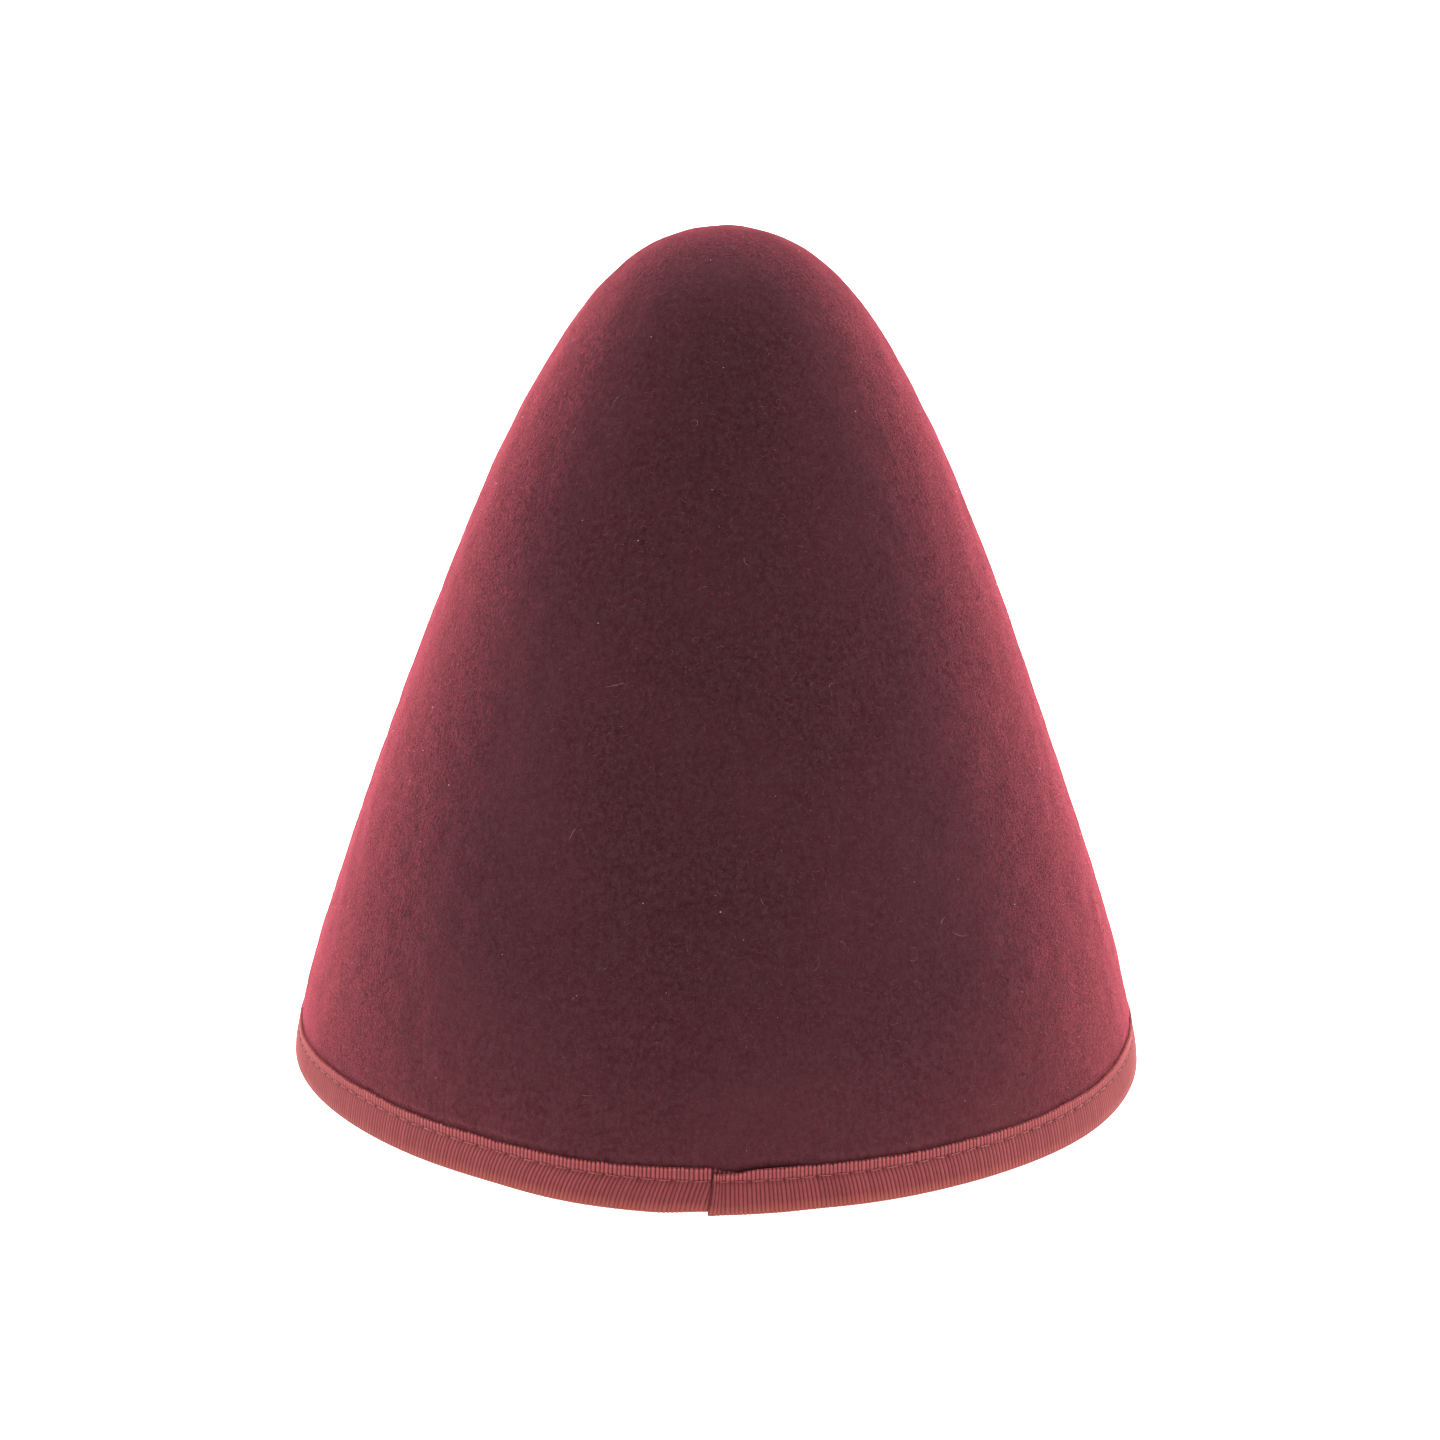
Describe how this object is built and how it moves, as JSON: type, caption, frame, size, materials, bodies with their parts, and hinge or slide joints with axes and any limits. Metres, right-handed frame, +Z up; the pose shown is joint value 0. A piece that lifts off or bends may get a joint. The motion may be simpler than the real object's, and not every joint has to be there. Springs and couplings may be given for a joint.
{
  "type": "felt cone hat",
  "caption": "Stage-costume cone hat of thick felt, seamless and hollow with a rounded tip, its edge bound in folded grosgrain ribbon.",
  "frame": {"origin": "on the floor under the cone's axis, at the middle of the open lower edge", "axes": "+Z up along the cone's axis to its tip, -Y towards the front, where the ribbon's lap is, +X to the viewer's right"},
  "size_m": [0.191, 0.192, 0.1919],
  "materials": {
    "felt": "dark burgundy wool felt, soft nap with short fibres",
    "grosgrain": "dusty red ribbed ribbon, dull sheen"
  },
  "bodies": {
    "root": {"felt_cone": "felt", "rim_binding": "grosgrain"}
  },
  "joints": []
}
